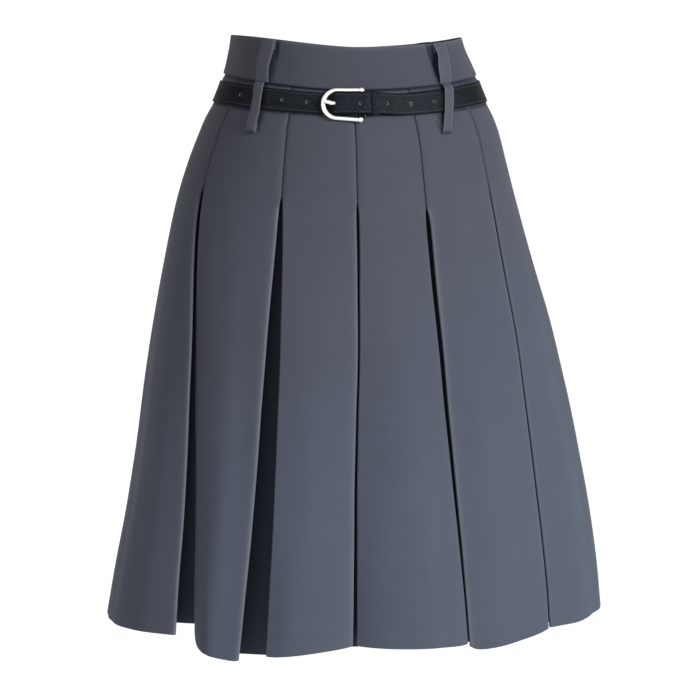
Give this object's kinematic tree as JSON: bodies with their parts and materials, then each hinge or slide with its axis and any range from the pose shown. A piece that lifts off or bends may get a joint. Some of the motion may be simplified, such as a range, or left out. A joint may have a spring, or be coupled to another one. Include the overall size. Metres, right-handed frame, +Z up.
{
  "type": "pleated midi skirt",
  "caption": "Flared midi skirt with inverted box pleats stitched down over the hips, a shaped waistband, belt carriers, a back zip and its own buckled belt, in the hollow form it has when worn.",
  "frame": {"origin": "middle of the waistband's height, on the wearer's vertical axis, where the wearer's waist holds the skirt", "axes": "+Z up, the front faces -Y, the wearer's left is +X"},
  "size_m": [0.5176, 0.3511, 0.6222],
  "materials": {
    "suiting": "smooth matte blue-grey suiting with a soft nap",
    "waistband": "the same suiting, doubled and pressed flat",
    "carriers": "the same suiting, in narrow folded strips",
    "belt_leather": "black smooth leather with a low sheen and stitched edges",
    "buckle_metal": "polished silver-coloured metal",
    "zip_metal": "dull dark metal",
    "zip_tape": "woven tape"
  },
  "bodies": {
    "root": {"skirt_front": "suiting", "skirt_back_left": "suiting", "skirt_back_right": "suiting", "waistband_front": "waistband", "waistband_back_left": "waistband", "waistband_back_right": "waistband", "carrier_front_left_upper": "carriers", "carrier_front_left_lower": "carriers", "carrier_front_right_upper": "carriers", "carrier_front_right_lower": "carriers", "carrier_back_left_upper": "carriers", "carrier_back_left_lower": "carriers", "carrier_back_right_upper": "carriers", "carrier_back_right_lower": "carriers", "belt_strap": "belt_leather", "belt_keeper": "belt_leather", "buckle_frame": "buckle_metal", "buckle_prong": "buckle_metal", "zip_tape": "zip_tape", "zip_slider": "zip_metal"},
    "pull": {"zip_pull": "zip_metal"}
  },
  "joints": [
    {"name": "pull_hinge", "type": "hinge", "parent": "root", "child": "pull", "pos_m": [0.0008, 0.09255, -0.00182], "axis": [1, 0, 0], "range_deg": [0, 150]}
  ]
}
